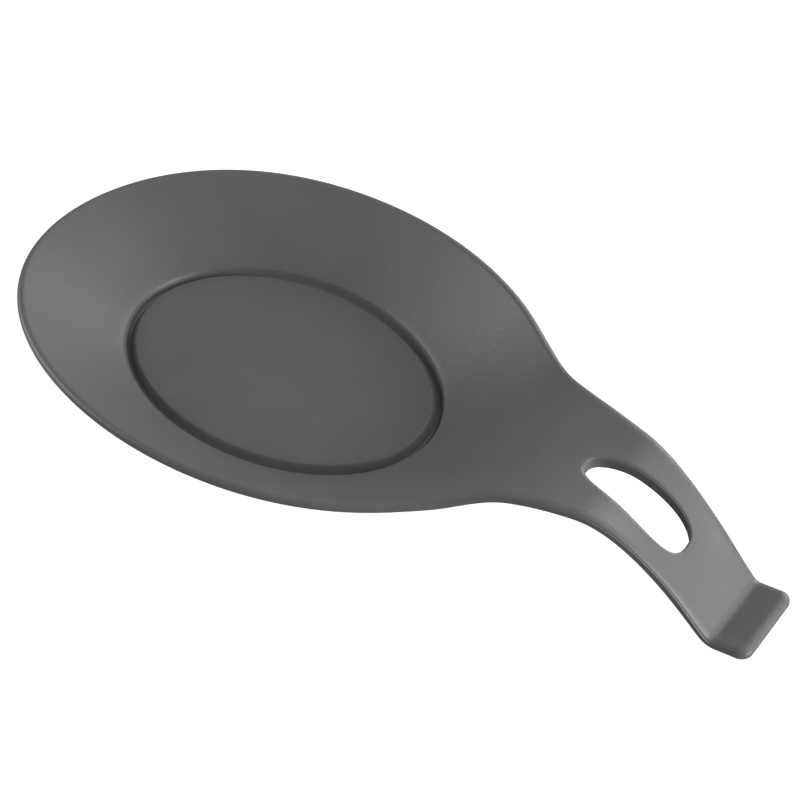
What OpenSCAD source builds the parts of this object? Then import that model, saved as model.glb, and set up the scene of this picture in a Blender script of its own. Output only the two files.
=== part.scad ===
// Spoon rest: an oval dish with a raised pad in a sharp crease, a neck, an arched handle with
// a hanging slot, and a lip that turns up at the handle's foot. The real thing is one soft
// moulding. It is drawn here as its five zones, which meet face to face.
// The origin is on the table, under the middle of the pad. +X runs along the handle to the
// lip, +Y across the dish, and +Z is up.

/* [Dish] */
// Length of the dish over its rim, in line with the handle
dish_len = 138.7; // [120:0.1:160]
// Width of the dish over its rim
dish_wid = 98.6; // [84:0.2:120]
// Height of the rim above the table, beside the pad
rim_h = 20; // [15:0.1:24]
// How much lower the rim is at the end away from the handle
tail_drop = 4.2; // [0:0.1:6]
// How much the rim dips before it climbs to the handle
neck_dip = 1.8; // [0:0.1:3]
// Thickness of the dish and of the lip
wall = 2.4; // [1.8:0.1:3.2]

/* [Pad] */
// Length of the raised pad, at the crease round it
pad_len = 82.2; // [60:0.2:95]
// Width of the raised pad, at the crease round it
pad_wid = 57.5; // [40:0.1:70]
// Height of the pad above the crease
pad_rise = 0.8; // [0.4:0.1:2.4]
// Width of the rounded edge of the pad
pad_round = 2.6; // [1:0.1:4]

/* [Handle] */
// Length of the handle from the end of the dish to the crease at its foot
handle_len = 52.1; // [46:0.1:70]
// Width where the neck becomes the handle
neck_wid = 36; // [30:0.2:44]
// Width of the handle at its foot
foot_wid = 20.8; // [16:0.2:26]
// Height of the handle's crest above the table
crest_h = 23.4; // [19:0.1:30]
// Distance of the crest from the end of the dish
crest_out = 19.7; // [16:0.1:24]
// Distance from the end of the dish to where the neck becomes the handle
neck_out = 6.7; // [4:0.1:9]
// Thickness of the handle along its middle, at its crest
handle_wall = 3.2; // [2:0.1:3.6]
// How much higher the handle's sides are than its middle
camber = 1.2; // [0:0.1:2]
// Length of the hanging slot, seen from above
slot_len = 24.8; // [16:0.2:28]
// Width of the hanging slot
slot_wid = 10.4; // [8:0.1:13]
// Distance from the end of the dish to the middle of the slot
slot_out = 26.7; // [24:0.1:30]

/* [Lip] */
// Length of the lip from the crease to its outer edge
lip_len = 8.8; // [6:0.1:14]
// How much the lip climbs over its length
lip_rise = 1.6; // [0.8:0.1:4]
// Radius of the lip's corners
lip_corner = 2.7; // [2:0.1:5]

/* [Hidden] */

// Colour of the moulding
soft_grey = [0.37, 0.37, 0.37];

// Half sizes and stations along the spoon rest
dish_a = dish_len / 2;
dish_b = dish_wid / 2;
pad_a = pad_len / 2;
pad_b = pad_wid / 2;
foot_half = foot_wid / 2;
floor_z = wall;
lip_edge_r = wall / 2;
probe = wall / 50;
crest_x = dish_a + crest_out;
bend_x = dish_a + handle_len;
lip_end_x = bend_x + lip_len;
handle_x = dish_a + neck_out;

// Where, as shares of the dish's half length, the sides leave the oval for the neck, the
// floor starts to climb to the handle, and the dish is parted from the neck
sides_leave_share = 0.65;
climb_from_share = 0.797;
neck_from_share = 0.87;
leave_x = dish_a * sides_leave_share;
climb_x = dish_a * climb_from_share;
neck_x = dish_a * neck_from_share;
// Where, as shares of the handle's length, it starts to thin and to flatten towards its foot
thin_from_share = 0.3;
flat_from_share = 0.74;
thin_from_x = handle_x + (bend_x - handle_x) * thin_from_share;
flat_from_x = handle_x + (bend_x - handle_x) * flat_from_share;

// Slopes, as rise over run: the floor's line out of the crease to the handle, the handle's
// fall at its foot, and how each side draws in where the neck becomes the handle and at the foot
climb_slope_share = 1.15;
foot_slope_share = 0.9;
neck_taper_share = 0.31;
taper_share = 0.045;
// How late the rim's drop comes towards the tail and towards the neck: 1 is a straight fall
tail_late_share = 3;
neck_late_share = 1.5;
// Share of the dish wall's rise that is straight, the rest being hollow
straight_share = 0.8;
// How square the slot's ends are, and how much wider it is towards the foot
slot_square_share = 2.8;
slot_swell_share = 0.2;

// Numbers of steps
arc_steps = 48;
side_steps = 5;
across_steps = 8;
wall_steps = 7;
under_steps = 5;
neck_steps = 7;
handle_steps = 20;
slot_steps = 40;
pad_steps = 4;
edge_angles = [60, 30, 0, -30, -60];
lip_angles = [0, 20, 40, 55, 68, 78, 85];

// Smooth curve through two ends with given slopes
function bend_line(x, x0, z0, s0, x1, z1, s1) =
    let (l = x1 - x0, t = (x - x0) / l)
    (2 * t * t * t - 3 * t * t + 1) * z0 + (t * t * t - 2 * t * t + t) * l * s0
    + (3 * t * t - 2 * t * t * t) * z1 + (t * t * t - t * t) * l * s1;

// Step from 0 to 1 that starts and ends level
function ease(x, from, to) =
    let (t = min(max((x - from) / (to - from), 0), 1)) t * t * (3 - 2 * t);

// Share of the way from the first value to the second
function mix(a, b, t) = a + (b - a) * t;

// Half width of the outline at x: the oval, then the neck and handle, then the lip's corners
leave_b = dish_b * sqrt(1 - sides_leave_share * sides_leave_share);
leave_slope = -dish_b / dish_a * sides_leave_share / sqrt(1 - sides_leave_share * sides_leave_share);
corner_x = lip_end_x - lip_corner;
function half_width(x) =
    x <= leave_x ? dish_b * sqrt(max(1 - x * x / dish_a / dish_a, 0))
    : x <= handle_x ? bend_line(x, leave_x, leave_b, leave_slope, handle_x, neck_wid / 2, -neck_taper_share)
    : x <= bend_x ? bend_line(x, handle_x, neck_wid / 2, -neck_taper_share, bend_x, foot_half, -taper_share)
    : x <= corner_x ? foot_half
    : foot_half - lip_corner + sqrt(max(lip_corner * lip_corner - (x - corner_x) * (x - corner_x), 0));

// Height of the rim at x
function rim_z(x) =
    let (t = min(max(x / dish_a, -1), 1))
    rim_h - (t < 0 ? tail_drop * pow(-t, tail_late_share) : neck_dip * pow(t, neck_late_share));

// Height of the dish's wall, from the crease round the pad out past the rim
function bowl_z(x, y) =
    let (
        u = x / dish_a,
        v = y / dish_b,
        out = sqrt(u * u + v * v),
        turn = atan2(v, u),
        crease = 1 / sqrt(pow(cos(turn) * dish_a / pad_a, 2) + pow(sin(turn) * dish_b / pad_b, 2)),
        s = (out - crease) / (1 - crease),
        hollow = 1 - straight_share,
        rise = s <= 1 ? straight_share * s + hollow * s * s : 1 + (straight_share + 2 * hollow) * (s - 1)
    )
    mix(floor_z, rim_z(x), rise);

// Height of the middle line of the neck and handle, over its crest and down to its foot
function spine_z(x) =
    x < crest_x ? bend_line(x, pad_a, floor_z, climb_slope_share, crest_x, crest_h, 0)
    : bend_line(x, crest_x, crest_h, 0, bend_x, wall, -foot_slope_share);

// How much of the handle's own thickness or hollow a place has: none on the dish, all of it on
// the handle, and less again from a place nearer its foot
function handle_share(x, less_from) = ease(x, neck_x, handle_x) * (1 - ease(x, less_from, bend_x));

// How far out a place is on the neck or handle: 0 on its middle line and 1 at its side
function side_share(x, y) = abs(y) / half_width(min(max(x, leave_x), bend_x));
function wall_at(x, y) =
    let (side = side_share(x, y))
    mix(wall, handle_wall, handle_share(x, thin_from_x) * max(1 - side * side, 0));

// Height of the top face at any place on the dish, neck or handle
function top_z(x, y) =
    let (side = side_share(x, y))
    mix(bowl_z(x, y), spine_z(x), ease(x, climb_x, handle_x))
    + camber * handle_share(x, flat_from_x) * side * side;

// Height of the under face: one wall below the top face, square to it, and never below the table
function under_z(x, y) =
    let (
        gx = (top_z(x + probe, y) - top_z(x - probe, y)) / (2 * probe),
        gy = (top_z(x, y + probe) - top_z(x, y - probe)) / (2 * probe)
    )
    max(0, top_z(x, y) - wall_at(x, y) * sqrt(1 + gx * gx + gy * gy));

// The rounded edge at an outline point p, square to the unit direction d: its top end, the
// points round it, and its bottom end
function edge_points(p, d) =
    let (
        edge_r = wall_at(p[0], p[1]) / 2,
        c = p - d * edge_r,
        high = top_z(c[0], c[1]),
        low = under_z(c[0], c[1]),
        out = c + d * probe,
        tilt = atan((top_z(out[0], out[1]) - high) / probe),
        half_t = (high - low) / 2 * cos(tilt)
    )
    [for (a = concat([90], edge_angles, [-90]))
        let (
            reach = edge_r * cos(a) * cos(tilt) - half_t * sin(a) * sin(tilt),
            lift = edge_r * cos(a) * sin(tilt) + half_t * sin(a) * cos(tilt)
        )
        [c[0] + d[0] * reach, c[1] + d[1] * reach, (high + low) / 2 + lift]];

// Slice across the neck or handle at x: over the top from +Y to -Y, round the edge, back under
// the wall and round the other edge
function slice_edge(x) = edge_points([x, half_width(x)], [0, 1]);
function top_row(x, y_end) =
    [for (i = [0 : across_steps]) let (y = mix(y_end, -y_end, i / across_steps)) [x, y, top_z(x, y)]];
function under_row(x, y_end) =
    [for (i = [0 : across_steps]) let (y = mix(y_end, -y_end, i / across_steps)) [x, y, under_z(x, y)]];
function mirrored(points) = [for (p = points) [p[0], -p[1], p[2]]];
function backwards(points) = [for (i = [len(points) - 1 : -1 : 0]) points[i]];
function inner(points) = [for (i = [1 : len(points) - 2]) points[i]];
function slice(x) =
    let (edge = slice_edge(x), last = len(edge) - 1)
    concat(
        top_row(x, edge[0][1]),
        inner(mirrored(edge)),
        backwards(under_row(x, edge[last][1])),
        inner(backwards(edge))
    );

// Slice across the lip at x, whose outer edge is round
function lip_slice(x) =
    let (
        middle = wall / 2 + lip_rise * (x - bend_x) / lip_len,
        past = max(x - (lip_end_x - lip_edge_r), 0),
        half_t = sqrt(max(lip_edge_r * lip_edge_r - past * past, 0)),
        side = half_width(x) - lip_edge_r,
        row = [for (i = [0 : across_steps]) mix(side, -side, i / across_steps)]
    )
    concat(
        [for (y = row) [x, y, middle + half_t]],
        [for (a = edge_angles) [x, -side - lip_edge_r * cos(a), middle + half_t * sin(a)]],
        backwards([for (y = row) [x, y, middle - half_t]]),
        [for (a = backwards(edge_angles)) [x, side + lip_edge_r * cos(a), middle + half_t * sin(a)]]
    );

// Two triangles between four corners
function quad(a, b, c, d) = [[a, b, c], [a, c, d]];

// Closed solid through a list of slices of equal length
module loft(slices) {
    n = len(slices[0]);
    last = (len(slices) - 1) * n;
    side_faces = [for (s = [0 : len(slices) - 2], i = [0 : n - 1])
        each quad(s * n + i, (s + 1) * n + i, (s + 1) * n + (i + 1) % n, s * n + (i + 1) % n)];
    // Each end face is a strip between the top and under rows, with a fan at each rounded edge
    edges = len(edge_angles);
    under_first = across_steps + edges + 1;
    under_last = under_first + across_steps;
    strip = [for (i = [0 : across_steps - 1])
        each quad(i, i + 1, under_last - i - 1, under_last - i)];
    far_fan = [for (i = [0 : edges - 1]) [across_steps, across_steps + i + 1, across_steps + i + 2]];
    near_fan = [for (i = [0 : edges - 1]) [0, under_last + i, under_last + i + 1]];
    start_face = concat(strip, far_fan, near_fan);
    end_face = [for (f = start_face) [last + f[0], last + f[2], last + f[1]]];
    polyhedron(
        points = [for (s = slices) each s],
        faces = concat(side_faces, start_face, end_face)
    );
}

// The dish's outline, as places round it with the direction of the edge there: round the oval
// from the +Y side by the tail to the -Y side, along the side to the neck, and across the neck
leave_turn = acos(sides_leave_share);
oval_rim = [for (i = [0 : arc_steps])
    let (
        t = mix(leave_turn, 360 - leave_turn, i / arc_steps),
        n = [dish_b * cos(t), dish_a * sin(t)]
    )
    [[dish_a * cos(t), dish_b * sin(t)], n / norm(n)]];
leave_n = oval_rim[0][1];
side_rim = [for (i = [1 : side_steps])
    let (
        x = mix(leave_x, neck_x, i / side_steps),
        n = [leave_n[0] * (1 - i / side_steps), leave_n[1]]
    )
    [[x, half_width(x)], n / norm(n)]];
mirrored_side_rim = [for (r = side_rim) [[r[0][0], -r[0][1]], [r[1][0], -r[1][1]]]];

// Columns of points down the dish's top face at each place, round the edge and back below it
function pad_point(p) =
    let (t = atan2(p[1] / dish_b, p[0] / dish_a)) [pad_a * cos(t), pad_b * sin(t)];
function column(edge) =
    let (
        last = len(edge) - 1,
        top_end = [edge[0][0], edge[0][1]],
        under_end = [edge[last][0], edge[last][1]],
        root = pad_point(top_end)
    )
    concat(
        [for (j = [0 : wall_steps - 1])
            let (p = mix(root, top_end, j / wall_steps)) [p[0], p[1], j == 0 ? floor_z : top_z(p[0], p[1])]],
        edge,
        [for (j = [under_steps - 1 : -1 : 0])
            let (p = mix(root, under_end, j / under_steps)) [p[0], p[1], j == 0 ? 0 : under_z(p[0], p[1])]]
    );
neck_edge = slice_edge(neck_x);
edge_last = len(neck_edge) - 1;
neck_top = backwards(top_row(neck_x, neck_edge[0][1]));
neck_under = backwards(under_row(neck_x, neck_edge[edge_last][1]));
neck_edges = [for (i = [1 : across_steps - 1])
    [for (j = [0 : edge_last]) mix(neck_top[i], neck_under[i], j / edge_last)]];
rim_edges = concat(
    [for (r = oval_rim) edge_points(r[0], r[1])],
    [for (r = mirrored_side_rim) edge_points(r[0], r[1])],
    neck_edges,
    [for (r = backwards(side_rim)) edge_points(r[0], r[1])]
);
columns = [for (e = rim_edges) column(e)];

module centre_pad() {
    outline = [for (c = columns) [c[0][0], c[0][1]]];
    n = len(outline);
    // Rings of the rounded edge, from the crease up to the flat top
    rings = [for (j = [0 : pad_steps])
        let (a = 90 * j / pad_steps, inset = pad_round * (1 - cos(a)))
        [for (p = outline)
            [p[0] * (1 - inset / pad_a), p[1] * (1 - inset / pad_b), floor_z + pad_rise * sin(a)]]];
    color(soft_grey)
    union() {
        linear_extrude(floor_z) polygon(outline);
        polyhedron(
            points = [for (r = rings) each r],
            faces = concat(
                [for (j = [0 : pad_steps - 1], i = [0 : n - 1])
                    each quad(j * n + i, (j + 1) * n + i, (j + 1) * n + (i + 1) % n, j * n + (i + 1) % n)],
                [[for (i = [0 : n - 1]) i]],
                [[for (i = [n - 1 : -1 : 0]) pad_steps * n + i]]
            )
        );
    }
}

module dish_wall() {
    n = len(columns[0]);
    m = len(columns);
    color(soft_grey)
    polyhedron(
        points = [for (c = columns) each c],
        faces = [for (i = [0 : m - 1], j = [0 : n - 1])
            each quad(i * n + j, ((i + 1) % m) * n + j, ((i + 1) % m) * n + (j + 1) % n, i * n + (j + 1) % n)]
    );
}

module neck() {
    color(soft_grey)
    loft([for (i = [0 : neck_steps]) slice(mix(neck_x, handle_x, i / neck_steps))]);
}

// Outline of the hanging slot from above: an oval with squared ends, wider towards the foot
slot_x = dish_a + slot_out;
slot_outline = [for (i = [0 : slot_steps - 1])
    let (
        t = 360 * i / slot_steps,
        u = sign(cos(t)) * pow(abs(cos(t)), 2 / slot_square_share),
        v = sign(sin(t)) * pow(abs(sin(t)), 2 / slot_square_share)
    )
    [slot_x + slot_len / 2 * u, slot_wid / 2 * v * (1 + slot_swell_share * u)]];

module handle() {
    color(soft_grey)
    difference() {
        loft([for (i = [0 : handle_steps]) slice(mix(handle_x, bend_x, i / handle_steps))]);
        linear_extrude(crest_h + handle_wall) polygon(slot_outline);
    }
}

module end_lip() {
    color(soft_grey)
    loft(concat(
        [lip_slice(bend_x), lip_slice(mix(bend_x, corner_x, 0.5))],
        [for (a = lip_angles) lip_slice(corner_x + lip_corner * sin(a))]
    ));
}

centre_pad();
dish_wall();
neck();
handle();
end_lip();
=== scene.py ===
"""Looks of the spoon rest: one matte silicone moulding, dressed zone by zone.

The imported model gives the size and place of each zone. Every zone is grown ring by ring as a
closed shape, and its open surface follows the same formulas as its neighbours', so that the
five zones read as one moulding.
"""

import logging
import math
from collections.abc import Sequence
from dataclasses import astuple, dataclass, field
from enum import Enum

import bmesh
import bpy
import numpy as np
from mathutils import Matrix, Vector


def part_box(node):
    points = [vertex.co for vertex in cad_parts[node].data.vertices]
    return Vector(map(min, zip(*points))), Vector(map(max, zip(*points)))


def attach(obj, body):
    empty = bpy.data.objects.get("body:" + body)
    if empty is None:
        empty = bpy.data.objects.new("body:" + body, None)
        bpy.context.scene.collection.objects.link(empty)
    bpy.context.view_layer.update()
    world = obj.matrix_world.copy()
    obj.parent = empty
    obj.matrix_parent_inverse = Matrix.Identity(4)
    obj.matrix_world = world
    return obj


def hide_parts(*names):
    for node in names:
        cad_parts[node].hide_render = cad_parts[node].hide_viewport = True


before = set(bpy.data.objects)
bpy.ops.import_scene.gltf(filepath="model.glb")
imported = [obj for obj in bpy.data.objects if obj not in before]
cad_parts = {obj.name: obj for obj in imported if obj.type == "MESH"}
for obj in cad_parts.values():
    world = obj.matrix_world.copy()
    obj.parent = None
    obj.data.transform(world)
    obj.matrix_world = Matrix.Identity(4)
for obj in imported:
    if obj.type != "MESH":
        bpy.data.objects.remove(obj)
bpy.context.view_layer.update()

LOG = logging.getLogger("spoon_rest")
MM = 0.001
WELD = 0.001 * MM

Number = float | np.ndarray
Bend = tuple[float, float, float]


class Ends(Enum):
    """How a shape that is grown ring by ring is closed."""

    JOINED = "joined"
    CAPPED = "capped"


class Skin(Enum):
    """The two surfaces of the moulding."""

    TOP = "top"
    UNDER = "under"


class Zone(Enum):
    """The zones of the moulding, by the names of the nodes that they stand for."""

    PAD = "centre_pad"
    DISH = "dish_wall"
    NECK = "neck"
    HANDLE = "handle"
    LIP = "end_lip"


def smooth_step(x: Number, start: float, end: float) -> Number:
    """Step from 0 at start to 1 at end, level at both."""
    t = np.clip((x - start) / (end - start), 0, 1)
    return t * t * (3 - 2 * t)


def mix(a: Number, b: Number, t: Number) -> Number:
    """Share t of the way from a to b."""
    return a + (b - a) * t


def smooth_max(a: Number, b: Number, blend: float) -> Number:
    """The higher of two heights, rounded where they differ by less than blend."""
    near = np.clip(blend - np.abs(a - b), 0, None)
    return np.maximum(a, b) + near * near / (4 * blend)


def bend_line(x: Number, start: Bend, end: Bend) -> Number:
    """Smooth curve between two ends.

    Args:
        x: Places along the curve.
        start: Place, height and slope of its start.
        end: Place, height and slope of its end.

    Returns:
        The heights at x.
    """
    (x0, z0, s0), (x1, z1, s1) = start, end
    span = x1 - x0
    t = (x - x0) / span
    rise = (2 * t**3 - 3 * t**2 + 1) * z0 + (3 * t**2 - 2 * t**3) * z1
    return rise + (t**3 - 2 * t**2 + t) * span * s0 + (t**3 - t**2) * span * s1


def round_corner(start: np.ndarray, corner: np.ndarray, end: np.ndarray, steps: int) -> list[np.ndarray]:
    """Quarter of an ellipse that leaves start towards the corner and reaches end from it.

    Args:
        start: First point.
        corner: The sharp corner that the curve takes away.
        end: Last point.
        steps: Number of pieces that the curve is drawn in.

    Returns:
        The points of the curve, both ends included.
    """
    turns = np.linspace(0, math.pi / 2, steps + 1)
    first, last = start - corner, end - corner
    return [corner + first * (1 - math.sin(a)) + last * (1 - math.cos(a)) for a in turns]


@dataclass(frozen=True)
class EdgeShape:
    """Section of a moulded edge, in metres.

    The top rounds over to the parting line, where a narrow ledge lies, and the side below it
    falls to a rounded lower corner.

    Attributes:
        top_round: How far the upper rounding reaches in from the edge.
        top_drop: How far it falls to the ledge.
        ledge: Width of the ledge at the parting line.
        foot_round: Radius of the lower corner.
        ledge_fall_share: Fall of the ledge, as a share of its width.
    """

    top_round: float
    top_drop: float
    ledge: float
    foot_round: float
    ledge_fall_share: float = 1 / 3

    @property
    def ledge_fall(self) -> float:
        """How far the ledge falls from its inner to its outer side."""
        return self.ledge * self.ledge_fall_share

    def blended(self, other: "EdgeShape", t: float) -> "EdgeShape":
        """The shape that lies share t of the way to another."""
        return EdgeShape(*(mix(a, b, t) for a, b in zip(astuple(self), astuple(other))))


@dataclass(frozen=True)
class Moulding:
    """Sizes and surfaces that all zones share, in metres, with z up from the table.

    Attributes:
        neck_x: Where the dish meets the neck.
        handle_x: Where the neck meets the handle.
        bend_x: Where the handle meets the lip.
        neck_half: Half width where the neck meets the handle.
        foot_half: Half width where the handle meets the lip.
        tail_drop: How much lower the rim is at the tail than in the middle.
        neck_dip: The same towards the neck.
        crest_out: How far the handle's crest lies beyond the end of the dish's oval.
        camber: How much higher the handle's sides are than its middle.
        bend_blend: Difference in height below which the bend at the lip is rounded.
        base_blend: The same where the under surface comes down to the table.
        sides_leave_share: Where the sides leave the oval, as a share of its half length.
        climb_from_share: Where the dish's floor starts to climb, as a share of the same.
        thin_from_share: Where along the handle its extra thickness starts to go.
        flat_from_share: Where along the handle its camber starts to go.
        foot_shares: Between which shares of the handle its underside turns to the foot's.
        climb_slope: Slope that the spine would have where the climb leaves the pad.
        foot_slope: Slope of the spine down to the lip.
        neck_taper: Loss of half width over run where the neck meets the handle.
        taper: The same where the handle meets the lip.
        tail_late: How late the rim's drop to the tail sets in, as a power.
        neck_late: The same for the dip towards the neck.
        straight_share: Share of the wall's rise that is straight, while the rest is hollow.
        edge_change: How far into the handle the rim's edge goes on turning to the handle's.
        groove: Depth of the groove round the pad, below the crease.
        joint_gap: Distance of the first ring from a face where two zones meet.
        probe_share: Step over which slopes are measured, as a share of the wall.
    """

    dish_half_len: float
    dish_half_wid: float
    pad_half_len: float
    pad_half_wid: float
    pad_top: float
    neck_x: float
    handle_x: float
    neck_half: float
    bend_x: float
    lip_end_x: float
    foot_half: float
    wall: float = 2.4 * MM
    handle_wall: float = 3.2 * MM
    rim_z: float = 20.0 * MM
    tail_drop: float = 4.2 * MM
    neck_dip: float = 1.8 * MM
    crest_out: float = 19.7 * MM
    crest_z: float = 23.4 * MM
    camber: float = 1.2 * MM
    lip_rise: float = 1.6 * MM
    bend_blend: float = 1.2 * MM
    base_blend: float = 0.2 * MM
    sides_leave_share: float = 0.65
    climb_from_share: float = 0.797
    thin_from_share: float = 0.3
    flat_from_share: float = 0.74
    foot_shares: tuple[float, float] = (0.7, 0.85)
    climb_slope: float = 1.15
    foot_slope: float = 0.9
    neck_taper: float = 0.31
    taper: float = 0.045
    tail_late: float = 3.0
    neck_late: float = 1.5
    straight_share: float = 0.8
    rim_edge: EdgeShape = EdgeShape(
        top_round=1.2 * MM, top_drop=1.15 * MM, ledge=0.03 * MM, foot_round=1.15 * MM
    )
    handle_edge: EdgeShape = EdgeShape(
        top_round=2.0 * MM, top_drop=0.7 * MM, ledge=0.22 * MM, foot_round=1.2 * MM
    )
    edge_change: float = 6.0 * MM
    groove: float = 1.4 * MM
    joint_gap: float = 0.12 * MM
    probe_share: float = 0.01
    round_steps: int = 8
    foot_steps: int = 5
    spine_steps: int = 4000
    across: int = 28

    @classmethod
    def from_frame(cls) -> "Moulding":
        """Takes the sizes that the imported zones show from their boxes.

        Returns:
            The moulding.
        """
        _, pad_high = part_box(Zone.PAD.value)
        dish_low, dish_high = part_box(Zone.DISH.value)
        handle_low, handle_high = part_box(Zone.HANDLE.value)
        _, lip_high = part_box(Zone.LIP.value)
        return cls(
            dish_half_len=-dish_low.x,
            dish_half_wid=dish_high.y,
            pad_half_len=pad_high.x,
            pad_half_wid=pad_high.y,
            pad_top=pad_high.z,
            neck_x=dish_high.x,
            handle_x=handle_low.x,
            neck_half=handle_high.y,
            bend_x=handle_high.x,
            lip_end_x=lip_high.x,
            foot_half=lip_high.y,
        )

    @property
    def leave_x(self) -> float:
        """Where the sides leave the oval for the neck."""
        return self.dish_half_len * self.sides_leave_share

    @property
    def crest_x(self) -> float:
        """Where the handle is highest."""
        return self.dish_half_len + self.crest_out

    @property
    def probe(self) -> float:
        """Short way over which slopes are measured."""
        return self.wall * self.probe_share

    def handle_share(self, x: Number, less_from_share: float) -> Number:
        """How much of the handle's own thickness or hollow a place has.

        Args:
            x: Places along the moulding.
            less_from_share: Share of the handle's length from which it grows less again.

        Returns:
            0 on the dish and at the handle's foot, and up to 1 between them.
        """
        less_from = mix(self.handle_x, self.bend_x, less_from_share)
        return smooth_step(x, self.neck_x, self.handle_x) * (1 - smooth_step(x, less_from, self.bend_x))

    def side_share(self, x: Number, y: Number) -> Number:
        """How far a place lies from the middle of the neck or handle, as a share of its half width."""
        return y / self.half_width(np.clip(x, self.leave_x, self.bend_x))

    def wall_at(self, x: Number, y: Number) -> Number:
        """Thickness of the moulding, whose handle is thickest along its middle.

        Args:
            x: Places along the moulding.
            y: Places across it.

        Returns:
            The thicknesses.
        """
        side = self.side_share(x, y)
        share = self.handle_share(x, self.thin_from_share) * np.clip(1 - side * side, 0, 1)
        return mix(self.wall, self.handle_wall, share)

    def half_width(self, x: Number) -> Number:
        """Half width of the outline, up to the foot of the handle.

        Args:
            x: Places along the moulding.

        Returns:
            The half widths.
        """
        x = np.asarray(x, float)
        share = self.sides_leave_share
        fall = math.sqrt(1 - share * share)
        oval = self.dish_half_wid * np.sqrt(np.clip(1 - (x / self.dish_half_len) ** 2, 0, 1))
        leave_slope = -self.dish_half_wid / self.dish_half_len * share / fall
        leave = (self.leave_x, self.dish_half_wid * fall, leave_slope)
        neck_end = (self.handle_x, self.neck_half, -self.neck_taper)
        neck = bend_line(x, leave, neck_end)
        handle = bend_line(x, neck_end, (self.bend_x, self.foot_half, -self.taper))
        return np.where(x <= self.leave_x, oval, np.where(x <= self.handle_x, neck, handle))

    def bowl_z(self, x: Number, y: Number) -> Number:
        """Height of the dish's wall, from the crease round the pad out past the rim.

        Args:
            x: Places along the moulding.
            y: Places across it.

        Returns:
            The heights.
        """
        u, v = x / self.dish_half_len, y / self.dish_half_wid
        out, turn = np.hypot(u, v), np.arctan2(v, u)
        crease = 1 / np.hypot(
            np.cos(turn) * self.dish_half_len / self.pad_half_len,
            np.sin(turn) * self.dish_half_wid / self.pad_half_wid,
        )
        s = (out - crease) / (1 - crease)
        hollow = 1 - self.straight_share
        inside = self.straight_share * s + hollow * s * s
        outside = 1 + (self.straight_share + 2 * hollow) * (s - 1)
        return mix(self.wall, self.rim_height(x), np.where(s <= 1, inside, outside))

    def rim_height(self, x: Number) -> Number:
        """Height of the rim, lower towards the tail and a little lower towards the neck.

        Args:
            x: Places along the moulding.

        Returns:
            The heights.
        """
        along = np.clip(x / self.dish_half_len, -1, 1)
        tail = self.tail_drop * np.abs(along) ** self.tail_late
        neck = self.neck_dip * np.abs(along) ** self.neck_late
        return self.rim_z - np.where(along < 0, tail, neck)

    def spine_z(self, x: Number) -> Number:
        """Height of the middle of the neck, handle and lip, rounded where the lip turns up.

        Args:
            x: Places along the moulding.

        Returns:
            The heights.
        """
        root = (self.pad_half_len, self.wall, self.climb_slope)
        crest = (self.crest_x, self.crest_z, 0)
        foot = (self.bend_x, self.wall, -self.foot_slope)
        climb = bend_line(x, root, crest)
        fall = bend_line(np.minimum(x, self.bend_x), crest, foot)
        fall = fall - self.foot_slope * np.maximum(x - self.bend_x, 0)
        lip = self.wall + self.lip_rise * (x - self.bend_x) / (self.lip_end_x - self.bend_x)
        return np.where(x < self.crest_x, climb, smooth_max(fall, lip, self.bend_blend))

    def top_z(self, x: Number, y: Number) -> Number:
        """Height of the upper surface at any place.

        Args:
            x: Places along the moulding.
            y: Places across it.

        Returns:
            The heights.
        """
        climb_x = self.dish_half_len * self.climb_from_share
        side = self.side_share(x, y)
        middle = mix(self.bowl_z(x, y), self.spine_z(x), smooth_step(x, climb_x, self.handle_x))
        return middle + self.camber * self.handle_share(x, self.flat_from_share) * side * side

    def slope(self, x: Number, y: Number) -> tuple[Number, Number]:
        """Rise over run of the upper surface.

        Args:
            x: Places along the moulding.
            y: Places across it.

        Returns:
            The slopes along x and along y.
        """
        probe = self.probe
        along = (self.top_z(x + probe, y) - self.top_z(x - probe, y)) / (2 * probe)
        aside = (self.top_z(x, y + probe) - self.top_z(x, y - probe)) / (2 * probe)
        return along, aside

    def under_z(self, x: Number, y: Number) -> Number:
        """Height of the under surface, one wall below the upper one and never below the table.

        Args:
            x: Places along the moulding.
            y: Places across it.

        Returns:
            The heights.
        """
        along, aside = self.slope(x, y)
        top, wall = self.top_z(x, y), self.wall_at(x, y)
        free = top - wall * np.sqrt(1 + along**2 + aside**2)
        foot = self.under_spine_z(x) + top - self.spine_z(x) + self.wall_at(x, 0) - wall
        foot_from, foot_to = (mix(self.handle_x, self.bend_x, share) for share in self.foot_shares)
        free = mix(free, foot, smooth_step(x, foot_from, foot_to))
        return smooth_max(free, np.zeros_like(free), self.base_blend)

    def under_spine_z(self, x: Number) -> Number:
        """Height of the under surface where the foot turns up, from points set square to the spine.

        Args:
            x: Places along the moulding.

        Returns:
            The heights.
        """
        stations = np.linspace(self.handle_x, self.lip_end_x + self.wall, self.spine_steps)
        rise = np.gradient(self.spine_z(stations), stations)
        inward = self.wall_at(stations, 0) / np.sqrt(1 + rise**2)
        return np.interp(x, stations + inward * rise, self.spine_z(stations) - inward)

    def height(self, skin: Skin, x: Number, y: Number) -> Number:
        """Height of one of the two surfaces."""
        return self.top_z(x, y) if skin is Skin.TOP else self.under_z(x, y)

    def line(self, skin: Skin, start: np.ndarray, end: np.ndarray, shares: np.ndarray) -> np.ndarray:
        """Points over one of the two surfaces, on a line that is straight in plan.

        Args:
            skin: The surface.
            start: First place of the line, of which only x and y count.
            end: Last place of the line, in the same way.
            shares: How far along the line each point lies, from 0 to 1.

        Returns:
            The points.
        """
        plan = mix(start[None, :2], end[None, :2], shares[:, None])
        return np.column_stack([plan, self.height(skin, plan[:, 0], plan[:, 1])])

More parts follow.
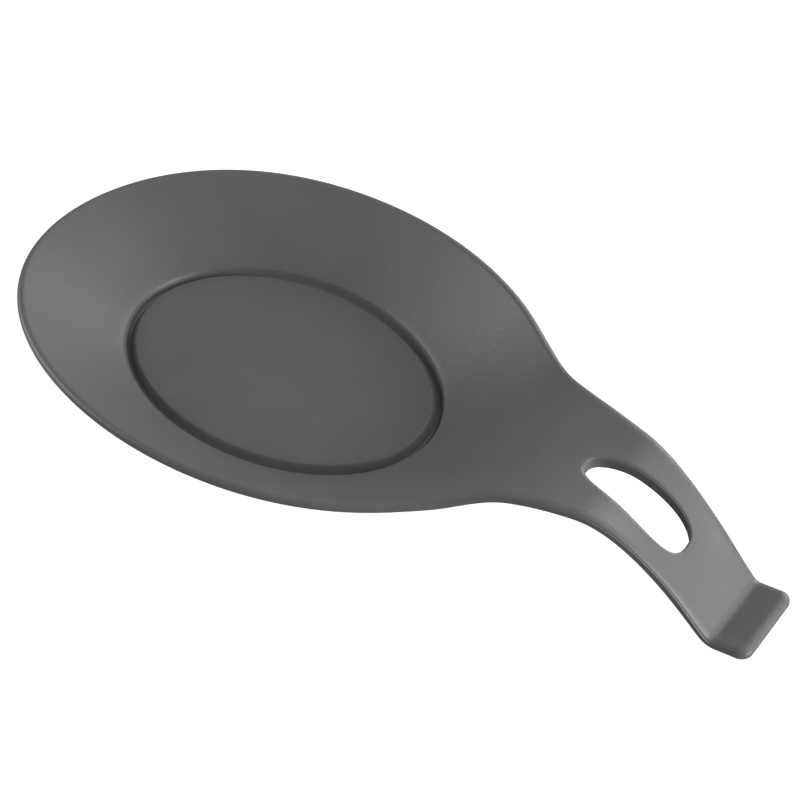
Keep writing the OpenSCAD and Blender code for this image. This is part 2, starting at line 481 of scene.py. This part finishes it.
    def edge(self, p: np.ndarray, d: np.ndarray, shape: EdgeShape) -> np.ndarray:
        """Points round the edge at one place of the outline.

        Args:
            p: Place on the outline, in plan.
            d: Unit direction out of the outline, in plan.
            shape: Section of the edge.

        Returns:
            The points from the end of the upper surface, round the edge, to the under surface.
        """
        reach = float(self.wall_at(p[0], p[1])) / 2
        middle = p - d * reach
        along, aside = self.slope(middle[0], middle[1])
        tilt = math.atan(along * d[0] + aside * d[1])
        high = float(self.top_z(middle[0], middle[1]))
        low = float(self.under_z(middle[0], middle[1]))
        half = (high - low) / 2 * math.cos(tilt)
        part = half - shape.top_drop
        foot = min(shape.foot_round, half + part - shape.ledge)
        inner = np.array([reach - shape.ledge, part])
        section = round_corner(
            np.array([reach - shape.top_round, half]),
            np.array([reach - shape.ledge, half]),
            inner,
            self.round_steps,
        )
        section.append(np.array([reach, part - shape.ledge_fall]))
        section += round_corner(
            np.array([reach, foot - half]),
            np.array([reach, -half]),
            np.array([reach - foot, -half]),
            self.foot_steps,
        )
        points = []
        for u, w in section:
            plan = middle + d * (u * math.cos(tilt) - w * math.sin(tilt))
            points.append([plan[0], plan[1], (high + low) / 2 + u * math.sin(tilt) + w * math.cos(tilt)])
        points = np.array(points)
        levels = np.array([w for _, w in section]) / half
        top_gap = float(self.top_z(points[0, 0], points[0, 1])) - points[0, 2]
        low_gap = float(self.under_z(points[-1, 0], points[-1, 1])) - points[-1, 2]
        points[:, 2] += np.where(levels > 0, top_gap * levels, -low_gap * levels)
        return points

    def side_edge(self, x: float) -> np.ndarray:
        """Points round the edge on the +Y side of the neck or handle.

        Args:
            x: Place along the moulding.

        Returns:
            The points from the end of the upper surface, round the edge, to the under surface.
        """
        probe = self.probe
        fall = float(self.half_width(x + probe) - self.half_width(x - probe)) / (2 * probe)
        d = np.array([-fall, 1.0]) / math.hypot(fall, 1.0)
        return self.edge(np.array([x, float(self.half_width(x))]), d, self.side_shape(x))

    def side_shape(self, x: float) -> EdgeShape:
        """Section of the edge at x, which goes from the rim's to the handle's along the neck."""
        t = float(smooth_step(x, self.neck_x, self.handle_x + self.edge_change))
        return self.rim_edge.blended(self.handle_edge, t)


def mirrored(points: np.ndarray) -> np.ndarray:
    """The same points on the other side of the line along the handle."""
    return points * np.array([1.0, -1.0, 1.0])


def rings_across(columns: Sequence[np.ndarray]) -> list[np.ndarray]:
    """Rings that each take one point of every column, in the order of the columns."""
    return list(np.array(columns).swapaxes(0, 1))


@dataclass(frozen=True)
class CrossSection:
    """Ring of points across the neck or handle at one station."""

    moulding: Moulding
    x: float

    @property
    def far_edge(self) -> np.ndarray:
        """Points round the +Y edge, from the upper surface to the under surface."""
        return self.moulding.side_edge(self.x)

    def row(self, skin: Skin) -> np.ndarray:
        """Points over one of the two surfaces, from +Y to -Y."""
        end = self.far_edge[0 if skin is Skin.TOP else -1]
        return self.moulding.line(skin, end, mirrored(end), np.linspace(0, 1, self.moulding.across + 1))

    def ring(self) -> np.ndarray:
        """The closed ring round the section.

        Returns:
            Its points, which go over the top to -Y, round that edge, back below and round the +Y edge.
        """
        edge = self.far_edge
        top, under = self.row(Skin.TOP), self.row(Skin.UNDER)
        return np.vstack([top, mirrored(edge)[1:-1], under[::-1], edge[-2:0:-1]])

    def joint_edges(self) -> list[np.ndarray]:
        """Columns of points down the flat face where two zones meet, without its ends.

        Returns:
            The columns, from +Y to -Y.
        """
        steps = np.linspace(0, 1, len(self.far_edge))[:, None]
        pairs = zip(self.row(Skin.TOP)[1:-1], self.row(Skin.UNDER)[1:-1])
        return [mix(top[None, :], under[None, :], steps) for top, under in pairs]


def deselect() -> None:
    """Leaves object mode with nothing selected."""
    if bpy.context.object and bpy.context.object.mode != "OBJECT":
        bpy.ops.object.mode_set(mode="OBJECT")
    bpy.ops.object.select_all(action="DESELECT")


def grow(name: str, rings: Sequence[np.ndarray], ends: Ends) -> bpy.types.Object:
    """Grows a closed shape: a circle is added, and each further ring is extruded from the last.

    Args:
        name: Name of the new piece.
        rings: Rings of as many points each, in the order in which they are grown.
        ends: Whether the last ring meets the first, or both are capped.

    Returns:
        The new piece, with its place in its mesh.
    """
    deselect()
    bpy.ops.mesh.primitive_circle_add(vertices=len(rings[0]), radius=float(np.ptp(rings[0][:, 0])) / 2)
    piece = bpy.context.object
    piece.name = name
    bpy.ops.object.mode_set(mode="EDIT")
    bpy.ops.mesh.select_all(action="SELECT")
    mesh = bmesh.from_edit_mesh(piece.data)
    column = mesh.verts.layers.int.new("column")
    for number, vert in enumerate(mesh.verts):
        vert[column] = number
    place_selected(piece, rings[0])
    if ends is Ends.CAPPED:
        bpy.ops.mesh.edge_face_add()
        bpy.ops.mesh.select_all(action="SELECT")
    for ring in rings[1:]:
        if ends is Ends.CAPPED:
            bpy.ops.mesh.extrude_region()
        else:
            bpy.ops.mesh.extrude_edges_indiv()
        place_selected(piece, ring)
    if ends is Ends.JOINED:
        bpy.ops.mesh.extrude_edges_indiv()
        place_selected(piece, rings[0])
        bpy.ops.mesh.select_all(action="SELECT")
        bpy.ops.mesh.remove_doubles(threshold=WELD)
    bpy.ops.mesh.select_all(action="SELECT")
    bpy.ops.mesh.normals_make_consistent(inside=False)
    bpy.ops.object.mode_set(mode="OBJECT")
    return piece


def place_selected(piece: bpy.types.Object, ring: np.ndarray) -> None:
    """Sets each selected point of a piece in its place on a ring, by its column.

    Args:
        piece: The piece, in edit mode.
        ring: The places, in the order of the columns.
    """
    mesh = bmesh.from_edit_mesh(piece.data)
    column = mesh.verts.layers.int["column"]
    for vert in mesh.verts:
        if vert.select:
            vert.co = ring[vert[column]]
    bmesh.update_edit_mesh(piece.data)


@dataclass(frozen=True)
class MatteSilicone:
    """Finish of the moulding: soft grey silicone with a fine velvety grain."""

    colour: float = 0.13
    mottle: float = 0.03
    roughness: float = 0.45
    grain_size: float = 0.6 * MM
    grain_depth: float = 0.05 * MM
    grain_detail: float = 3
    mottle_size: float = 14 * MM
    mottle_detail: float = 4
    noise_low: float = 0.3
    noise_high: float = 0.7

    def material(self) -> bpy.types.Material:
        """Builds the finish as a material.

        Returns:
            The material, whose patterns follow the piece's own coordinates.
        """
        finish = bpy.data.materials.new("grey_silicone_finish")
        finish.use_nodes = True
        tree = finish.node_tree
        shader = tree.nodes["Principled BSDF"]
        place = tree.nodes.new("ShaderNodeTexCoord").outputs["Object"]

        mottle = self.noise(tree, place, self.mottle_size, self.mottle_detail)
        tint = self.spread(tree, mottle, self.colour, self.colour * self.mottle)
        gloss = self.spread(tree, mottle, self.roughness, self.mottle)
        tree.links.new(tint, shader.inputs["Base Color"])
        tree.links.new(gloss, shader.inputs["Roughness"])

        bump = tree.nodes.new("ShaderNodeBump")
        bump.inputs["Distance"].default_value = self.grain_depth
        grain = self.noise(tree, place, self.grain_size, self.grain_detail)
        tree.links.new(grain, bump.inputs["Height"])
        tree.links.new(bump.outputs["Normal"], shader.inputs["Normal"])
        return finish

    @staticmethod
    def noise(
        tree: bpy.types.NodeTree, place: bpy.types.NodeSocket, size: float, detail: float
    ) -> bpy.types.NodeSocket:
        """Adds a soft irregular pattern.

        Args:
            tree: The material's nodes.
            place: The coordinates that the pattern follows.
            size: Size of its patches.
            detail: How many finer patterns lie on top of it.

        Returns:
            The pattern's strength.
        """
        pattern = tree.nodes.new("ShaderNodeTexNoise")
        pattern.inputs["Scale"].default_value = 1 / size
        pattern.inputs["Detail"].default_value = detail
        tree.links.new(place, pattern.inputs["Vector"])
        return pattern.outputs["Fac"]

    def spread(
        self, tree: bpy.types.NodeTree, pattern: bpy.types.NodeSocket, middle: float, swing: float
    ) -> bpy.types.NodeSocket:
        """Turns a pattern into a value that swings about a middle.

        Args:
            tree: The material's nodes.
            pattern: The pattern's strength.
            middle: The value between its extremes.
            swing: How far the value goes to either side.

        Returns:
            The value.
        """
        ramp = tree.nodes.new("ShaderNodeMapRange")
        ramp.inputs["From Min"].default_value = self.noise_low
        ramp.inputs["From Max"].default_value = self.noise_high
        ramp.inputs["To Min"].default_value = middle - swing
        ramp.inputs["To Max"].default_value = middle + swing
        tree.links.new(pattern, ramp.inputs["Value"])
        return ramp.outputs["Result"]


@dataclass
class MouldedPart:
    """One zone of the moulding, which becomes a closed piece of its own."""

    moulding: Moulding
    finish: bpy.types.Material
    zone: Zone = Zone.PAD
    piece_name: str = ""
    smooth_angle: float = math.radians(50)

    def rings(self) -> list[np.ndarray]:
        """Rings of points that the zone is grown from."""
        raise NotImplementedError

    def ends(self) -> Ends:
        """How the zone's shape is closed."""
        return Ends.CAPPED

    def build(self) -> bpy.types.Object:
        """Models the zone, dresses it and puts it in place of its node.

        Returns:
            The finished piece.
        """
        piece = grow(self.piece_name, self.rings(), self.ends())
        bpy.ops.object.shade_smooth_by_angle(angle=self.smooth_angle)
        piece.data.materials.append(self.finish)
        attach(piece, "root")
        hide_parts(self.zone.value)
        return piece


@dataclass
class RaisedPad(MouldedPart):
    """The oval pad, whose edge rises softly out of the groove round it.

    Attributes:
        edge_round: How far in from the crease the edge goes on rising.
        cap_share: How far in the last ring lies, as a share of the pad's half width.
    """

    zone: Zone = Zone.PAD
    piece_name: str = "raised_pad"
    edge_round: float = 1.9 * MM
    round_steps: int = 16
    cap_share: float = 0.8
    top_rings: int = 8

    def outline(self) -> np.ndarray:
        """Places round the pad at the crease, in plan, one for each column of the dish."""
        return np.array([c[0, :2] for c in DishColumns(self.moulding).columns()])

    def rings(self) -> list[np.ndarray]:
        """Rings of points that the pad is grown from.

        Returns:
            The rings, from the underside up to the groove, over the soft edge and in over the top.
        """
        m = self.moulding
        plan = self.outline()
        size = np.array([m.pad_half_len, m.pad_half_wid])

        def ring(inset: float, z: float) -> np.ndarray:
            """The outline drawn in by an inset, at one height."""
            return np.column_stack([plan * (1 - inset / size), np.full(len(plan), z)])

        crease_z = m.wall - m.groove
        edge = np.linspace(0, self.edge_round, self.round_steps + 1)
        heights = mix(crease_z, m.pad_top, smooth_step(edge, 0, self.edge_round))
        top = np.linspace(self.edge_round, m.pad_half_wid * self.cap_share, self.top_rings + 1)[1:-1]
        rings = [ring(0, 0), ring(0, crease_z / 2)]
        rings += [ring(inset, z) for inset, z in zip(edge, heights)]
        return rings + [ring(inset, m.pad_top) for inset in top]


@dataclass(frozen=True)
class DishColumns:
    """Columns of points over the dish's wall, one for each place round its outline.

    Attributes:
        groove_floor: How far out from the crease the groove keeps its depth.
        groove_reach: How far out from the crease it ends.
    """

    moulding: Moulding
    oval_steps: int = 160
    side_steps: int = 20
    groove_steps: int = 11
    wall_steps: int = 19
    under_steps: int = 17
    groove_floor: float = 0.3 * MM
    groove_reach: float = 1.6 * MM

    def edges(self) -> list[np.ndarray]:
        """Points round the edge at each place of the outline.

        Returns:
            The points at each place on the oval, the -Y side, the joint with the neck and the +Y side.
        """
        m = self.moulding
        leave = math.acos(m.sides_leave_share)
        oval = []
        for t in np.linspace(leave, 2 * math.pi - leave, self.oval_steps + 1):
            p = np.array([m.dish_half_len * math.cos(t), m.dish_half_wid * math.sin(t)])
            n = np.array([m.dish_half_wid * math.cos(t), m.dish_half_len * math.sin(t)])
            oval.append(m.edge(p, n / np.linalg.norm(n), m.rim_edge))
        stations = np.linspace(m.leave_x, m.neck_x, self.side_steps + 1)[1:]
        stations = np.insert(stations, -1, m.neck_x - m.joint_gap)
        far_side = [m.side_edge(x) for x in stations]
        near_side = [mirrored(e) for e in far_side]
        return oval + near_side + CrossSection(m, m.neck_x).joint_edges()[::-1] + far_side[::-1]

    def columns(self) -> list[np.ndarray]:
        """Each column goes up the wall from the crease, round the edge and back below it."""
        return [self.column(edge) for edge in self.edges()]

    def column(self, edge: np.ndarray) -> np.ndarray:
        """One column of points.

        Args:
            edge: Points round the edge, from the upper surface to the under surface.

        Returns:
            The points from the crease over the wall and back to the table below the crease.
        """
        m = self.moulding
        t = math.atan2(edge[0, 1] / m.dish_half_wid, edge[0, 0] / m.dish_half_len)
        root = np.array([m.pad_half_len * math.cos(t), m.pad_half_wid * math.sin(t)])
        span = float(np.linalg.norm(edge[0, :2] - root))
        last = span - m.joint_gap
        grooved = np.linspace(0, self.groove_reach, self.groove_steps + 1)[:-1]
        free = np.linspace(self.groove_reach, span, self.wall_steps + 1)[:-1]
        out = np.concatenate([grooved, free, [last]])
        top = m.line(Skin.TOP, root, edge[0], out / span)
        top[:, 2] -= m.groove * (1 - smooth_step(out, self.groove_floor, self.groove_reach))
        back = np.concatenate([np.linspace(0, span, self.under_steps + 1)[:-1], [last]])[::-1]
        return np.vstack([top, edge, m.line(Skin.UNDER, root, edge[-1], back / span)])


@dataclass
class FlaredWall(MouldedPart):
    """The oval wall of the dish, with its rounded rim."""

    zone: Zone = Zone.DISH
    piece_name: str = "flared_wall"

    def ends(self) -> Ends:
        """The last ring, below the crease, meets the first one in it."""
        return Ends.JOINED

    def rings(self) -> list[np.ndarray]:
        """Rings from the crease up the wall, over the rim and back below."""
        return rings_across(DishColumns(self.moulding).columns())


@dataclass
class SaddleNeck(MouldedPart):
    """The neck, where the wall climbs and narrows into the handle."""

    zone: Zone = Zone.NECK
    piece_name: str = "saddle_neck"
    stations: int = 26

    def rings(self) -> list[np.ndarray]:
        """Cross sections from the dish to the handle.

        Returns:
            The sections, with one more close to each end.
        """
        m = self.moulding
        places = np.linspace(m.neck_x, m.handle_x, self.stations + 1)
        places = np.sort(np.append(places, [m.neck_x + m.joint_gap, m.handle_x - m.joint_gap]))
        return [CrossSection(m, x).ring() for x in places]


@dataclass
class ArchedHandle(MouldedPart):
    """The arched handle with the hanging slot, grown from the slot outwards and back.

    Attributes:
        slot_out: How far the slot's middle lies beyond the end of the dish's oval.
        slot_square: Power of the slot's outline, where 2 is an ellipse and more is squarer.
        slot_swell: How much wider than its middle the slot is at its foot end, as a share.
        crest_corner: Turn round the slot at which the handle's corner by the neck lies.
        foot_corner: The same for its corner by the lip.
        turn_probe: Step in turn over which the slot's direction is measured.
    """

    zone: Zone = Zone.HANDLE
    piece_name: str = "arched_handle"
    slot_out: float = 26.7 * MM
    slot_len: float = 24.8 * MM
    slot_wid: float = 10.4 * MM
    slot_square: float = 2.8
    slot_swell: float = 0.2
    slot_edge: EdgeShape = EdgeShape(
        top_round=1.0 * MM, top_drop=0.4 * MM, ledge=0.16 * MM, foot_round=0.4 * MM
    )
    crest_corner: float = math.radians(48)
    foot_corner: float = math.radians(38)
    turn_probe: float = 0.001
    side_steps: int = 64
    even_steps: int = 15
    even_to_share: float = 0.9
    close_shares: tuple[float, ...] = (0.92, 0.94, 0.955, 0.97, 0.98, 0.99)

    def ends(self) -> Ends:
        """The last ring, up the slot's wall, meets the first one at its upper edge."""
        return Ends.JOINED

    def slot_point(self, t: float, out: float) -> np.ndarray:
        """Place in plan on a line round the slot.

        Args:
            t: Turn round the slot, from the foot end towards +Y.
            out: Distance of the line outside the slot's wall.

        Returns:
            The place.
        """
        power = 2 / self.slot_square

        def on_wall(turn: float) -> np.ndarray:
            """Place on the slot's wall itself.

            Args:
                turn: Turn round the slot.

            Returns:
                The place.
            """
            u = math.copysign(abs(math.cos(turn)) ** power, math.cos(turn))
            v = math.copysign(abs(math.sin(turn)) ** power, math.sin(turn))
            x = self.moulding.dish_half_len + self.slot_out + self.slot_len / 2 * u
            return np.array([x, self.slot_wid / 2 * v * (1 + self.slot_swell * u)])

        run = on_wall(t + self.turn_probe) - on_wall(t - self.turn_probe)
        normal = np.array([run[1], -run[0]]) / np.linalg.norm(run)
        return on_wall(t) + normal * out

    def slot_column(self, t: float) -> np.ndarray:
        """Points down the slot's wall.

        Args:
            t: Turn round the slot, from the foot end towards +Y.

        Returns:
            The points from the end of the upper surface to the under surface.
        """
        m, shape = self.moulding, self.slot_edge

        def at(out: float, skin: Skin, lift: float = 0) -> np.ndarray:
            """A point outside the slot's wall by out, on or off one of the two surfaces."""
            plan = self.slot_point(t, out)
            return np.append(plan, float(m.height(skin, *plan)) + lift)

        upper = at(shape.ledge, Skin.TOP)
        ledge = at(shape.ledge, Skin.TOP, -shape.top_drop)
        outer = np.append(self.slot_point(t, 0), ledge[2] - shape.ledge_fall)
        lower, foot = at(0, Skin.UNDER), at(0, Skin.UNDER, shape.foot_round)
        points = round_corner(at(shape.top_round, Skin.TOP), upper, ledge, m.round_steps) + [outer]
        points += round_corner(foot, lower, at(shape.foot_round, Skin.UNDER), m.foot_steps)
        return np.array(points)

    def border(self) -> list[tuple[float, np.ndarray]]:
        """The +Y side, the joint with the neck, the -Y side and the joint with the lip, place by place.

        Returns:
            The turn round the slot and the points round the edge, for each place.
        """
        m = self.moulding
        stations = np.linspace(m.bend_x, m.handle_x, self.side_steps + 1)
        stations = np.insert(stations, [1, -1], [m.bend_x - m.joint_gap, m.handle_x + m.joint_gap])
        shares = (m.bend_x - stations) / (m.bend_x - m.handle_x)
        far_turns = mix(self.foot_corner, math.pi - self.crest_corner, shares)
        far = [(t, m.side_edge(x)) for t, x in zip(far_turns, stations)]
        near = [(2 * math.pi - t, mirrored(e)) for t, e in far][::-1]
        crest = CrossSection(m, m.handle_x).joint_edges()
        foot = CrossSection(m, m.bend_x).joint_edges()[::-1]
        crest_turns = math.pi + np.linspace(-self.crest_corner, self.crest_corner, len(crest) + 2)
        foot_turns = 2 * math.pi + np.linspace(-self.foot_corner, self.foot_corner, len(foot) + 2)
        return far + list(zip(crest_turns[1:-1], crest)) + near + list(zip(foot_turns[1:-1], foot))

    def rings(self) -> list[np.ndarray]:
        """Rings of points that the handle is grown from.

        Returns:
            The rings, from the slot's upper edge out to the border, back below and up the slot's wall.
        """
        m = self.moulding
        even = np.linspace(0, self.even_to_share, self.even_steps + 1)
        shares = np.concatenate([even, self.close_shares])
        columns = []
        for t, edge in self.border():
            wall = self.slot_column(t)
            top = m.line(Skin.TOP, wall[0], edge[0], shares)
            under = m.line(Skin.UNDER, wall[-1], edge[-1], shares[::-1])
            columns.append(np.vstack([top, edge, under, wall[-2:0:-1]]))
        return rings_across(columns)


@dataclass
class TurnedLip(MouldedPart):
    """The lip that turns up at the handle's foot, with round corners and a full outer edge.

    Attributes:
        settle: Way over which the handle's taper dies out.
        root_shares: How far from its middle towards the border the lip's rings start, in x and y.
    """

    zone: Zone = Zone.LIP
    piece_name: str = "turned_lip"
    corner_r: float = 2.7 * MM
    outer_edge: EdgeShape = EdgeShape(
        top_round=2.1 * MM, top_drop=1.2 * MM, ledge=0.05 * MM, foot_round=1.0 * MM
    )
    settle: float = 3 * MM
    side_steps: int = 8
    corner_steps: int = 14
    outer_steps: int = 14
    even_steps: int = 5
    even_to_share: float = 0.6
    close_shares: tuple[float, ...] = (0.68, 0.75, 0.81, 0.86, 0.9, 0.935, 0.96, 0.98)
    root_shares: tuple[float, float] = (0.12, 0.4)

    def far_outline(self) -> list[tuple[np.ndarray, np.ndarray, float]]:
        """The outline on the +Y side, from the bend round the corner to the middle.

        Returns:
            Place, direction out and share of the outer edge's section, for each step.
        """
        m = self.moulding
        corner_x = m.lip_end_x - self.corner_r
        half = m.foot_half - m.taper * self.settle / 2
        stations = np.linspace(m.bend_x, corner_x, self.side_steps + 1)
        stations[0] += m.joint_gap
        path = []
        for x in stations:
            s = min((x - m.bend_x) / self.settle, 1)
            y = m.foot_half - m.taper * self.settle * (s - s * s / 2)
            fall = m.taper * (1 - s)
            path.append((np.array([x, y]), np.array([fall, 1.0]) / math.hypot(fall, 1.0), 0.0))
        for a in np.linspace(0, math.pi / 2, self.corner_steps + 1)[1:]:
            d = np.array([math.sin(a), math.cos(a)])
            centre = np.array([corner_x, half - self.corner_r])
            path.append((centre + d * self.corner_r, d, float(smooth_step(a, 0, math.pi / 2))))
        for y in np.linspace(half - self.corner_r, 0, self.outer_steps + 1)[1:]:
            path.append((np.array([m.lip_end_x, y]), np.array([1.0, 0.0]), 1.0))
        return path

    def edges(self) -> list[np.ndarray]:
        """Points round the edge at each place of the border.

        Returns:
            The points at each place on the +Y side, the outer edge, the -Y side and the bend.
        """
        m = self.moulding
        side = m.side_shape(m.bend_x)
        far = [m.edge(p, d, side.blended(self.outer_edge, t)) for p, d, t in self.far_outline()]
        bend = CrossSection(m, m.bend_x)
        near = [mirrored(e) for e in far[:-1]][::-1]
        return [bend.far_edge] + far + near + [mirrored(bend.far_edge)] + bend.joint_edges()[::-1]

    def rings(self) -> list[np.ndarray]:
        """Rings of points that the lip is grown from.

        Returns:
            The rings, from the middle of the upper surface out to the border and back below.
        """
        m = self.moulding
        middle = np.array([(m.bend_x + m.lip_end_x) / 2, 0.0])
        even = np.linspace(0, self.even_to_share, self.even_steps + 1)
        shares = np.concatenate([even, self.close_shares])
        columns = []
        for edge in self.edges():
            root = mix(middle, edge[0, :2], np.array(self.root_shares))
            top = m.line(Skin.TOP, root, edge[0], shares)
            under = m.line(Skin.UNDER, root, edge[-1], shares[::-1])
            columns.append(np.vstack([top, edge, under]))
        return rings_across(columns)


@dataclass(frozen=True)
class StudioView:
    """The camera, at the place and angle of the photographed view."""

    target: Vector = Vector((27.5 * MM, 9.89 * MM, 0))
    distance: float = 422.7 * MM
    azimuth: float = math.radians(36.458)
    elevation: float = math.radians(45.564)
    lens: float = 81.0
    sensor: float = 36.0

    def place(self) -> bpy.types.Object:
        """Adds the camera and makes it the scene's own.

        Returns:
            The camera.
        """
        data = bpy.data.cameras.new("studio_camera")
        data.lens = self.lens
        data.sensor_width = self.sensor
        camera = bpy.data.objects.new("studio_camera", data)
        bpy.context.scene.collection.objects.link(camera)
        a, e = self.azimuth, self.elevation
        back = Vector((math.sin(a) * math.cos(e), -math.cos(a) * math.cos(e), math.sin(e)))
        right = Vector((math.cos(a), math.sin(a), 0))
        up = back.cross(right)
        turn = Matrix((right, up, back)).transposed().to_4x4()
        camera.matrix_world = Matrix.Translation(self.target + back * self.distance) @ turn
        bpy.context.scene.camera = camera
        return camera


@dataclass(frozen=True)
class SoftBox:
    """A square studio lamp that faces the middle of the object, with its angles in degrees."""

    name: str
    azimuth: float
    elevation: float
    power: float
    width: float = 0.5
    distance: float = 0.9
    aim: Vector = Vector((30 * MM, 0, 0))

    def place(self) -> bpy.types.Object:
        """Adds the lamp.

        Returns:
            The lamp.
        """
        data = bpy.data.lights.new(self.name, "AREA")
        data.energy = self.power
        data.size = self.width
        lamp = bpy.data.objects.new(self.name, data)
        bpy.context.scene.collection.objects.link(lamp)
        a, e = math.radians(self.azimuth), math.radians(self.elevation)
        away = Vector((math.cos(a) * math.cos(e), math.sin(a) * math.cos(e), math.sin(e)))
        lamp.location = self.aim + away * self.distance
        lamp.rotation_euler = away.to_track_quat("Z", "Y").to_euler()
        return lamp


@dataclass
class Studio:
    """White floor, even surroundings and soft lamps."""

    lamps: list[SoftBox] = field(
        default_factory=lambda: [
            SoftBox("key_lamp", azimuth=4, elevation=18, power=8.0),
            SoftBox("side_lamp", azimuth=80, elevation=18, power=4.2),
            SoftBox("fill_lamp", azimuth=200, elevation=18, power=4.1),
            SoftBox("top_lamp", azimuth=48, elevation=56, power=1.3),
        ]
    )
    ambient: float = 0.2
    floor_size: float = 6.0
    floor_drop: float = 0.1 * MM
    floor_grey: float = 0.4
    floor_roughness: float = 0.9
    floor_gloss: float = 0.1
    floor_glow: float = 0.92

    def build(self) -> None:
        """Adds the floor, the surroundings and the lamps."""
        self.surroundings()
        self.floor()
        for lamp in self.lamps:
            lamp.place()

    def surroundings(self) -> None:
        """Sets an even light round the object, which the camera sees as white."""
        world = bpy.data.worlds.new("studio_world")
        bpy.context.scene.world = world
        world.use_nodes = True
        nodes, links = world.node_tree.nodes, world.node_tree.links
        path = nodes.new("ShaderNodeLightPath")
        strength = nodes.new("ShaderNodeMapRange")
        strength.inputs["To Min"].default_value = self.ambient
        strength.inputs["To Max"].default_value = 1.0
        links.new(path.outputs["Is Camera Ray"], strength.inputs["Value"])
        background = nodes["Background"]
        background.inputs["Color"].default_value = (1, 1, 1, 1)
        links.new(strength.outputs["Result"], background.inputs["Strength"])

    def floor(self) -> bpy.types.Object:
        """Adds the white floor, which keeps the object's soft shadow.

        Returns:
            The floor.
        """
        deselect()
        bpy.ops.mesh.primitive_plane_add(size=self.floor_size, location=(0, 0, -self.floor_drop))
        floor = bpy.context.object
        floor.name = "studio_floor"
        paint = bpy.data.materials.new("white_floor")
        paint.use_nodes = True
        nodes, links = paint.node_tree.nodes, paint.node_tree.links
        shader = nodes["Principled BSDF"]
        shader.inputs["Base Color"].default_value = (self.floor_grey, self.floor_grey, self.floor_grey, 1)
        shader.inputs["Roughness"].default_value = self.floor_roughness
        shader.inputs["Specular IOR Level"].default_value = self.floor_gloss
        path = nodes.new("ShaderNodeLightPath")
        glow = nodes.new("ShaderNodeMath")
        glow.operation = "MULTIPLY"
        glow.inputs[1].default_value = self.floor_glow
        links.new(path.outputs["Is Camera Ray"], glow.inputs[0])
        shader.inputs["Emission Color"].default_value = (1, 1, 1, 1)
        links.new(glow.outputs["Value"], shader.inputs["Emission Strength"])
        floor.data.materials.append(paint)
        return floor


def main() -> None:
    """Builds the studio and the five zones."""
    logging.basicConfig(level=logging.INFO, format="%(name)s: %(message)s")
    bpy.context.scene.view_settings.view_transform = "Standard"
    StudioView().place()
    Studio().build()
    moulding = Moulding.from_frame()
    finish = MatteSilicone().material()
    for part_class in (RaisedPad, FlaredWall, SaddleNeck, ArchedHandle, TurnedLip):
        piece = part_class(moulding, finish).build()
        LOG.info("%s has %d faces", piece.name, len(piece.data.polygons))


if __name__ == "__main__":
    main()
